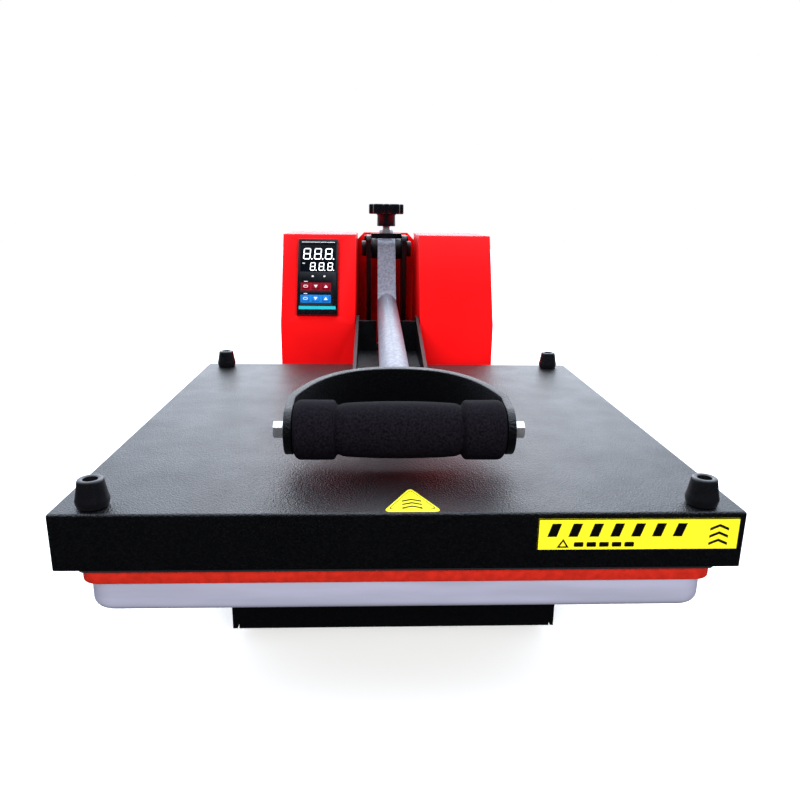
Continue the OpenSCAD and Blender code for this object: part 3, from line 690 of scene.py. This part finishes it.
class HEATPRESS_OT_stage(bpy.types.Operator):
    """Add the camera, the pale floor and the soft studio light"""

    bl_idname = "heatpress.stage"
    bl_label = "Camera and stage"

    def execute(self, context):
        lens = bpy.data.cameras.new("camera")
        lens.sensor_width = SENSOR_WIDTH
        lens.lens = CAMERA_LENS
        lens.clip_start = CLIP_START
        camera = bpy.data.objects.new("camera", lens)
        context.scene.collection.objects.link(camera)
        camera.matrix_world = (Matrix.Translation(CAMERA_PLACE) @ Matrix.Rotation(CAMERA_YAW, 4, "Z")
                               @ Matrix.Rotation(math.pi / 2 + CAMERA_PITCH, 4, "X")
                               @ Matrix.Rotation(CAMERA_ROLL, 4, "Z"))
        context.scene.camera = camera
        context.scene.world = self.studio_world()
        context.scene.view_settings.view_transform = "Standard"
        self.floor()
        for name, place, size, power, reflected in LAMPS:
            light = bpy.data.lights.new(name, "AREA")
            light.size = size
            light.energy = power
            lamp = bpy.data.objects.new(name, light)
            context.scene.collection.objects.link(lamp)
            lamp.location = place
            lamp.visible_glossy = reflected
            lamp.rotation_euler = (Vector(LAMP_TARGET) - Vector(place)).to_track_quat("-Z", "Y").to_euler()
        return {"FINISHED"}

    def floor(self):
        """A plain floor that throws no light back on the press, so that its black coat stays black."""
        deselect()
        bpy.ops.mesh.primitive_plane_add(size=FLOOR_SIZE, location=(0, 0, -FLOOR_GAP))
        floor = named("floor")
        floor.data.materials.append(finish_for("floor"))
        floor.visible_diffuse = False
        floor.visible_glossy = False

    def studio_world(self):
        """White where it is seen; as light it is bright above and behind the press, and dark before it."""
        world = bpy.data.worlds.new("studio")
        world.use_nodes = True
        tree = world.node_tree
        seen = tree.nodes["Background"]
        seen.inputs["Color"].default_value = (1, 1, 1, 1)
        cast = tree.nodes.new("ShaderNodeBackground")
        cast.inputs["Color"].default_value = SKY_TINT
        place = tree.nodes.new("ShaderNodeTexCoord")
        toward = tree.nodes.new("ShaderNodeVectorMath")
        toward.operation = "DOT_PRODUCT"
        toward.inputs[1].default_value = SKY_DIRECTION
        span = tree.nodes.new("ShaderNodeMapRange")
        span.interpolation_type = "SMOOTHSTEP"
        span.inputs["From Min"].default_value = SKY_START
        span.inputs["From Max"].default_value = SKY_END
        span.inputs["To Min"].default_value = SKY_DARK
        span.inputs["To Max"].default_value = SKY_BRIGHT
        path = tree.nodes.new("ShaderNodeLightPath")
        choice = tree.nodes.new("ShaderNodeMixShader")
        tree.links.new(place.outputs["Generated"], toward.inputs[0])
        tree.links.new(toward.outputs["Value"], span.inputs["Value"])
        tree.links.new(span.outputs["Result"], cast.inputs["Strength"])
        tree.links.new(path.outputs["Is Camera Ray"], choice.inputs["Fac"])
        tree.links.new(cast.outputs["Background"], choice.inputs[1])
        tree.links.new(seen.outputs["Background"], choice.inputs[2])
        tree.links.new(choice.outputs["Shader"], tree.nodes["World Output"].inputs["Surface"])
        return world


class HEATPRESS_OT_upper_platen(bpy.types.Operator):
    """Fold the cover and add the heated platen, its insulation and the rubber bumpers"""

    bl_idname = "heatpress.upper_platen"
    bl_label = "Upper platen"

    def execute(self, context):
        low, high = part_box("heater_cover")
        cover = new_box("cover_shell", low, high)
        bevel_edges(cover, stands, 1.8 * MM, 4)
        bevel_edges(cover, lies_at(high.z), sizes().cover_bend, 5)
        start_edit(cover, "FACE", lambda f: f.normal.z < -0.9)
        bpy.ops.mesh.delete(type="FACE")
        bpy.ops.object.mode_set(mode="OBJECT")
        apply_modifier(cover, "SOLIDIFY", thickness=COVER_SHEET, offset=-1)
        hand_over(cover, "platen_arm", "black_coat", "heater_cover")
        softened("heat_platen", 0.8 * MM)
        for node in ("heating_element", "insulation_board", "platen_spacers"):
            softened(node, 0.3 * MM, 1)
        self.bumpers()
        return {"FINISHED"}

    def bumpers(self):
        """Turns the four conical bumpers, each hollow over its screw."""
        low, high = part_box("cover_bumpers")
        radius = 9.6 * MM
        height = high.z - low.z
        profile = [(2.1 * MM, 0), (8.0 * MM, 0), (8.8 * MM, 0.5 * MM), (9.5 * MM, 3.2 * MM), (radius, 4 * MM),
                   (9.5 * MM, 5 * MM), (9.1 * MM, 6.3 * MM), (8.4 * MM, 10 * MM), (7.8 * MM, 13.4 * MM),
                   (7.5 * MM, height - 1.3 * MM), (7.1 * MM, height - 0.4 * MM), (6.5 * MM, height),
                   (4.9 * MM, height), (4.2 * MM, height - 0.4 * MM), (3.9 * MM, height - 8 * MM),
                   (2.1 * MM, height - 8 * MM), (2.1 * MM, 0)]
        made = []
        for x in (low.x + radius, high.x - radius):
            for y in (low.y + radius, high.y - radius):
                made.append(lathed("bumper", profile, (x, y, low.z), "Z"))
        hand_over(joined("rubber_bumpers", made), "platen_arm", "black_rubber", "cover_bumpers")
        softened("bumper_screws", 0.3 * MM, 1)


class HEATPRESS_OT_labels(bpy.types.Operator):
    """Add the two plain yellow stickers with their generic marks"""

    bl_idname = "heatpress.labels"
    bl_label = "Stickers"

    def execute(self, context):
        low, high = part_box("warning_labels")
        wide, tall, border = 118 * MM, 19.8 * MM, 1.1 * MM
        front = facing_place(Vector((high.x - wide / 2, low.y + 0.3 * MM, low.z + tall / 2)), Vector((0, -1, 0)))
        made = plate("front_sticker", rounded_rectangle(wide, tall, 0.6 * MM), STICKER, front)
        hand_over(made, "platen_arm", "label_yellow", "warning_labels")
        lift = Matrix.Translation((0, 0, STICKER * 0.9))
        face = front @ lift
        ink = [ring_plate("border", rounded_rectangle(wide, tall, 0.6 * MM),
                          rounded_rectangle(wide - border, tall - border, 0.4 * MM), INK, face)]
        stroke_start, stroke_step = -49.4 * MM, 12.2 * MM
        for i in range(7):
            ink.append(self.slanted_bar(stroke_start + stroke_step * i, 2.8 * MM, 5.4 * MM, 8.2 * MM, face))
        bar_start, bar_step, bar_row = -34.8 * MM, 7.4 * MM, -6.2 * MM
        for i in range(5):
            bar = rounded_rectangle(5.6 * MM, 3.0 * MM, 0.7 * MM, centre=(bar_start + bar_step * i, bar_row))
            ink.append(plate("bar", bar, INK, face))
        small = [(-47.6 * MM, -8.2 * MM), (-40.4 * MM, -8.2 * MM), (-44 * MM, -2.6 * MM)]
        hollow = [(-45.9 * MM, -7.3 * MM), (-42.1 * MM, -7.3 * MM), (-44 * MM, -4.3 * MM)]
        ink.append(ring_plate("small_triangle", small, hollow, INK, face))
        ink += self.chevrons(face, 47 * MM, 0, 1.1)
        half_width, edge_gap = 17 * MM, 2.8 * MM
        middle = Vector((low.x + half_width, (high.y + low.y + edge_gap) / 2, high.z - 0.3 * MM))
        top = facing_place(middle, Vector((0, 0, 1)))
        half = (high.y - low.y - edge_gap) / 2
        outline = self.rounded_triangle(half_width, half, 5 * MM)
        triangle = plate("triangle_sticker", outline, STICKER, top)
        hand_over(triangle, "platen_arm", "label_yellow")
        outer = self.rounded_triangle(14.2 * MM, half - 3.0 * MM, 3.6 * MM)
        inner = self.rounded_triangle(13.4 * MM, half - 3.6 * MM, 3.4 * MM)
        ink.append(ring_plate("triangle_border", outer, inner, INK, top @ lift))
        ink += self.chevrons(top @ lift, 0, -6 * MM, 1.15)
        hand_over(joined("sticker_ink", ink), "platen_arm", "label_black")
        return {"FINISHED"}

    def slanted_bar(self, x, y, width, height, place):
        """A bold plain stroke that leans to the right."""
        lean = 1.3 * MM
        corners = [(x - width / 2 - lean, y - height / 2), (x + width / 2 - lean, y - height / 2),
                   (x + width / 2 + lean, y + height / 2), (x - width / 2 + lean, y + height / 2)]
        return plate("stroke", corners, INK, place)

    def rounded_triangle(self, half_width, half_height, radius):
        """An outline with its point up and its corners rounded."""
        corners = [(half_width, -half_height), (0, half_height), (-half_width, -half_height)]
        outline = []
        for i, corner in enumerate(corners):
            here = Vector(corner)
            back = (Vector(corners[i - 1]) - here).normalized()
            ahead = (Vector(corners[(i + 1) % 3]) - here).normalized()
            for k in range(7):
                t = k / 6
                outline.append(tuple(here + back * radius * (1 - t) ** 2 + ahead * radius * t ** 2))
        return outline

    def chevrons(self, place, x, y, scale):
        """Three plain arrowheads, one above another."""
        made = []
        for i in range(3):
            base = y + (i - 1) * 4.2 * MM * scale
            half, rise, thick = 5 * MM * scale, 2.2 * MM * scale, 1.5 * MM * scale
            corners = [(x - half, base - rise), (x, base), (x + half, base - rise),
                       (x + half, base - rise + thick), (x, base + thick), (x - half, base - rise + thick)]
            made.append(plate("chevron", corners, INK, place))
        return made


class HEATPRESS_OT_lower_platen(bpy.types.Operator):
    """Cast the lower platen and lay the silicone sponge pad on it"""

    bl_idname = "heatpress.lower_platen"
    bl_label = "Lower platen"

    def execute(self, context):
        low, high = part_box("lower_platen")
        slab = new_box("lower_platen_casting", low, high)
        bevel_edges(slab, stands, sizes().platen_corner, 10)
        bevel_edges(slab, lies_at(low.z), sizes().platen_edge, 6)
        bevel_edges(slab, lies_at(high.z), 0.8 * MM, 2)
        hand_over(slab, "frame", "platen_grey", "lower_platen")
        low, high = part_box("silicone_pad")
        pad = new_box("sponge_pad", low, high)
        bevel_edges(pad, stands, sizes().pad_corner, 8)
        bevel_edges(pad, lies_at(high.z), 1.6 * MM, 3)
        bevel_edges(pad, lies_at(low.z), 0.6 * MM, 2)
        hand_over(pad, "frame", "silicone", "silicone_pad")
        softened("platen_posts", 0.4 * MM)
        return {"FINISHED"}


class HEATPRESS_OT_base(bpy.types.Operator):
    """Fold the base, and add its feet, the uprights, the crossbar and the hinge"""

    bl_idname = "heatpress.base"
    bl_label = "Base and uprights"

    def execute(self, context):
        softened("base_frame", 0.35 * MM)
        for node in ("upright_left", "upright_right"):
            softened(node, 0.8 * MM, 3)
        softened("top_crossbar", 0.7 * MM, 3)
        for node in ("rubber_feet", "case_screws", "tie_bars", "upright_screws", "lock_nut", "hinge_shaft",
                     "spring_anchors"):
            softened(node, 0.4 * MM, 2)
        return {"FINISHED"}


class HEATPRESS_OT_bracket(bpy.types.Operator):
    """Round the edges of the platen's bracket, its bolts and its pins"""

    bl_idname = "heatpress.bracket"
    bl_label = "Platen bracket"

    def execute(self, context):
        softened("platen_bracket", 0.7 * MM, 3)
        for node in ("bracket_bolts", "hinge_bushes", "bracket_pins"):
            softened(node, 0.4 * MM, 2)
        return {"FINISHED"}


class HEATPRESS_OT_control_box(bpy.types.Operator):
    """Fold the red control box and fit its rear panel"""

    bl_idname = "heatpress.control_box"
    bl_label = "Control box"

    def execute(self, context):
        for node in ("housing_left", "housing_right"):
            softened(node, sizes().box_bend, 3)
        softened("rear_panel", 0)
        for node in ("power_inlet", "switch_bezel", "power_rocker", "fuse_holder", "fuse_cap",
                     "cable_grommet"):
            softened(node, 0.35 * MM, 2)
        for node in ("solid_state_relay", "terminal_block"):
            softened(node, 0.5 * MM, 2)
        return {"FINISHED"}


class HEATPRESS_OT_controller(bpy.types.Operator):
    """Add the controller's bezel, its digits, its keys and their symbols"""

    bl_idname = "heatpress.controller"
    bl_label = "Controller"

    def execute(self, context):
        softened("controller_case", 0.5 * MM, 3)
        softened("display_window", 0.2 * MM, 2)
        for strip in ("temp", "time"):
            softened(strip + "_strip", 0.12 * MM, 1)
            for key in ("set", "down", "up"):
                softened(f"{strip}_{key}_button", 0.5 * MM, 3)
                self.symbol(f"{strip}_{key}_button", key)
        centre, normal = outward_face("display_window", (0, -1, 0.5))
        window = facing_place(centre, normal)
        self.digits(window)
        self.face_marks(window)
        return {"FINISHED"}

    def symbol(self, node, key):
        """A ring on the set key, and a triangle on the others."""
        centre, normal = outward_face(node, (0, -1, 0.5))
        place = facing_place(centre, normal)
        if key == "set":
            mark = ring_plate(node + "_mark", rounded_rectangle(5.2 * MM, 3.2 * MM, 1.5 * MM),
                              rounded_rectangle(4.0 * MM, 2.0 * MM, 0.9 * MM), KEY_MARK, place)
        else:
            way = 1 if key == "up" else -1
            mark = plate(node + "_mark", [(-2.3 * MM, -1.7 * MM * way), (2.3 * MM, -1.7 * MM * way),
                                          (0, 2.0 * MM * way)], KEY_MARK, place)
        hand_over(mark, BODY_OF[node], "symbol_white")

    def digit(self, place, x, y, width, height):
        """Seven bars and a point."""
        stroke = 0.08 * height
        gap = 0.02 * height
        point_radius, point_gap = 0.06 * height, 0.10 * height
        tall = height / 2 - stroke / 2
        bars = []

        def bar(cx, cy, length, upright):
            half, point = length / 2 - gap, stroke / 2
            shape = [(-half, 0), (-half + point, point), (half - point, point), (half, 0),
                     (half - point, -point), (-half + point, -point)]
            slant = math.tan(sizes().digit_slant)
            turned = [(-b, a) if upright else (a, b) for a, b in shape]
            moved = [(cx + a, cy + b) for a, b in turned]
            bars.append(plate("bar", [(x + a + slant * b, y + b) for a, b in moved], LIT_MARK, place))

        for cy in (-tall, 0, tall):
            bar(0, cy, width - stroke, False)
        for cx in (-1, 1):
            for cy in (-tall / 2, tall / 2):
                bar(cx * (width - stroke) / 2, cy, tall, True)
        dot = [(x + width / 2 + point_gap + point_radius * math.cos(k * math.pi / 4),
                y - height / 2 + stroke / 2 + point_radius * math.sin(k * math.pi / 4)) for k in range(8)]
        bars.append(plate("dot", dot, LIT_MARK, place))
        return bars

    def digits(self, window):
        """Three large digits for the temperature above three small ones for the time."""
        bars = []
        for i in range(3):
            bars += self.digit(window, (-13.2 + 13.0 * i) * MM, 5.6 * MM, 8.6 * MM, 14.2 * MM)
            bars += self.digit(window, (-6.2 + 10.4 * i) * MM, -10.6 * MM, 6.2 * MM, 10.2 * MM)
        hand_over(joined("display_digits", bars), "frame", "digit")

    def face_marks(self, window):
        """Plain dashes where a meter has its words, and the cyan line at its foot."""
        def strip(name, width, height, x, y):
            outline = rounded_rectangle(width * MM, height * MM, 0.25 * MM, centre=(x * MM, y * MM))
            return plate(name, outline, LIT_MARK, window)

        marks = [strip("line", 40, 0.7, 0, 20.6), strip("dash", 3.0, 1.0, -17, -6.5)]
        marks += [strip("dash", 4.2, 0.9, -14, row) for row in (-29.6, -44.9)]
        marks += [strip("dash", 2.4, 1.8, x, -23) for x in (-6, 8)]
        hand_over(joined("face_marks", marks), "frame", "symbol_white")
        hand_over(strip("cyan_line", 43.5, 4.0, 0, -62.4), "frame", "cyan")


class HEATPRESS_OT_lever(bpy.types.Operator):
    """Cast the lever and the fork, and fit the foam grip"""

    bl_idname = "heatpress.lever"
    bl_label = "Lever"

    def execute(self, context):
        softened("lever_arm", 1.0 * MM, 3)
        softened("lever_fork", 1.0 * MM, 3)
        for node in ("grip_tube", "grip_bolts", "link_pin", "toggle_link", "pressure_yoke", "lever_shaft"):
            softened(node, 0.4 * MM, 2)
        self.foam()
        return {"FINISHED"}

    def foam(self):
        """Turns the grip's profile: a cuff at each end and a swollen waist between them."""
        low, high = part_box("foam_grip")
        half = (high.x - low.x) / 2
        radius = (high.z - low.z) / 2
        bore = 7.1 * MM
        cuff, cuff_round, cuff_step = 27 * MM, 5 * MM, 2.4 * MM
        lip = 3 * MM
        end_steps, lip_steps, waist_steps = 6, 5, 24
        profile = [(bore, -half), (radius - cuff_round, -half)]
        for i in range(1, end_steps + 1):
            turn = math.pi / 2 * i / end_steps
            profile.append((radius - cuff_round + cuff_round * math.sin(turn),
                            -half + cuff_round * (1 - math.cos(turn))))
        profile += [(radius, -half + 14 * MM), (radius - 0.1 * MM, -half + cuff - lip)]
        for i in range(1, lip_steps + 1):
            turn = math.pi / 2 * i / lip_steps
            profile.append((radius - cuff_step * (1 - math.cos(turn)),
                            -half + cuff - lip + lip * math.sin(turn)))
        left_cuff = list(profile)
        inner = half - cuff - 1.2 * MM
        for i in range(waist_steps + 1):
            x = -inner + 2 * inner * i / waist_steps
            swell = 1.5 * MM * (1 - (x / inner) ** 2) + 1.2 * MM * (1 - abs(x / inner) ** 24)
            profile.append((radius - 3.6 * MM + swell, x))
        profile += [(r, -x) for r, x in reversed(left_cuff)]
        middle = ((low.x + high.x) / 2, (low.y + high.y) / 2, (low.z + high.z) / 2)
        grip = lathed("grip_foam", profile + [profile[0]], middle, "X", steps=64)
        hand_over(grip, "lever", "foam", "foam_grip")


class HEATPRESS_OT_knob(bpy.types.Operator):
    """Mould the star knob on its screw"""

    bl_idname = "heatpress.knob"
    bl_label = "Pressure knob"

    def execute(self, context):
        low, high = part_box("pressure_knob")
        middle = (low + high) / 2
        radius = (high.x - low.x) / 2
        head_height, lobe_depth, steps_per_lobe = 13 * MM, 2.3 * MM, 20
        star = high.z - head_height
        lobes = sizes().lobes
        count = lobes * steps_per_lobe
        corners = []
        for i in range(count):
            turn = 2 * math.pi * i / count
            wave = math.cos(lobes * turn)
            reach = radius - lobe_depth + lobe_depth * math.copysign(abs(wave) ** 0.75, wave)
            corners.append((reach * math.sin(turn), reach * math.cos(turn)))
        head = plate("star", corners, high.z - star, Matrix.Translation((middle.x, middle.y, star)))
        round_edges(head, 1.6 * MM, 4)
        bore, hub_top = 5.05 * MM, star - low.z + 0.4 * MM
        hub = lathed("hub", [(bore, 0), (11.7 * MM, 0), (12.3 * MM, 0.8 * MM), (11.9 * MM, star - low.z - 2 * MM),
                             (13.4 * MM, hub_top), (bore, hub_top), (bore, 0)],
                     (middle.x, middle.y, low.z), "Z")
        top = lathed("rim", [(0, 0), (8.2 * MM, 0), (8.8 * MM, 0.35 * MM), (10.2 * MM, 0.35 * MM),
                             (10.8 * MM, -0.2 * MM), (10.8 * MM, -0.8 * MM), (0, -0.8 * MM)],
                     (middle.x, middle.y, high.z - 0.35 * MM), "Z")
        knob = joined("star_knob", [head, hub, top])
        hand_over(knob, "knob", "black_plastic", "pressure_knob")
        softened("pressure_screw", 0.3 * MM)
        return {"FINISHED"}


class HEATPRESS_OT_springs(bpy.types.Operator):
    """Wind the lift springs and hang the heater's cable"""

    bl_idname = "heatpress.springs"
    bl_label = "Springs and cable"

    def execute(self, context):
        low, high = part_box("lift_springs")
        radius, spring_wire, outer = 2.7 * MM, 0.55 * MM, 3.2 * MM
        middle_y = (low.y + high.y) / 2
        coils = []
        turns, steps = 26, 12
        for x in (low.x + outer, high.x - outer):
            points = []
            for i in range(turns * steps + 1):
                turn = 2 * math.pi * i / steps
                points.append((x + radius * math.cos(turn), middle_y + radius * math.sin(turn),
                               low.z + 1 * MM + (high.z - low.z - 2 * MM) * i / (turns * steps)))
            coils.append(wire("coil", points, spring_wire, 8))
        springs = joined("coil_springs", coils)
        self.bend(springs, "zinc", "lift_springs", (0, middle_y, low.z), (0, middle_y, high.z))
        low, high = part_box("heater_cable")
        lead_x = (low.x + high.x) / 2
        route = self.smoothed([(lead_x, y * MM, z * MM) for y, z in LEAD_ROUTE])
        cable = wire("heater_lead", route, LEAD_RADIUS, 16)
        self.bend(cable, "silicone_sleeve", "heater_cable", (0, 0.136, 0.125), (0, 0.090, 0.138))
        return {"FINISHED"}

    def smoothed(self, points):
        """Catmull-Rom points between the route's own."""
        fine = []
        for i in range(len(points) - 1):
            p = [Vector(points[min(max(i + k, 0), len(points) - 1)]) for k in (-1, 0, 1, 2)]
            for step in range(4):
                t = step / 4
                fine.append(0.5 * (2 * p[1] + (p[2] - p[0]) * t + (2 * p[0] - 5 * p[1] + 4 * p[2] - p[3]) * t ** 2
                                   + (3 * p[1] - p[0] - 3 * p[2] + p[3]) * t ** 3))
        return fine + [Vector(points[-1])]

    def bend(self, piece, slot, node, start, end):
        """Smooths a piece, gives it its finish, hides its CAD node and bakes its place into its mesh."""
        pick(piece)
        bpy.ops.object.shade_smooth()
        piece.data.materials.clear()
        piece.data.materials.append(finish_for(slot))
        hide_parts(node)
        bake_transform(piece)


OPERATORS = (HEATPRESS_OT_stage, HEATPRESS_OT_upper_platen, HEATPRESS_OT_labels, HEATPRESS_OT_lower_platen,
             HEATPRESS_OT_base, HEATPRESS_OT_bracket, HEATPRESS_OT_control_box, HEATPRESS_OT_controller,
             HEATPRESS_OT_lever, HEATPRESS_OT_knob, HEATPRESS_OT_springs)


class HEATPRESS_PT_panel(bpy.types.Panel):
    """Lists the press's sizes, colours and pieces"""

    bl_idname = "HEATPRESS_PT_panel"
    bl_label = "Heat Press"
    bl_space_type = "VIEW_3D"
    bl_region_type = "UI"
    bl_category = "Heat Press"

    def draw(self, context):
        for group in (sizes(), colours()):
            column = self.layout.column()
            for field in group.__annotations__:
                column.prop(group, field)
        for operator in OPERATORS:
            self.layout.operator(operator.bl_idname)


CLASSES = (HeatPressSizes, HeatPressColours, *OPERATORS, HEATPRESS_PT_panel)


def register():
    for item in CLASSES:
        bpy.utils.register_class(item)
    bpy.types.Scene.heat_press_sizes = bpy.props.PointerProperty(type=HeatPressSizes)
    bpy.types.Scene.heat_press_colours = bpy.props.PointerProperty(type=HeatPressColours)


def unregister():
    del bpy.types.Scene.heat_press_colours
    del bpy.types.Scene.heat_press_sizes
    for item in reversed(CLASSES):
        bpy.utils.unregister_class(item)


def main():
    register()
    for operator in OPERATORS:
        group, name = operator.bl_idname.split(".")
        getattr(getattr(bpy.ops, group), name)()


if __name__ == "__main__":
    main()
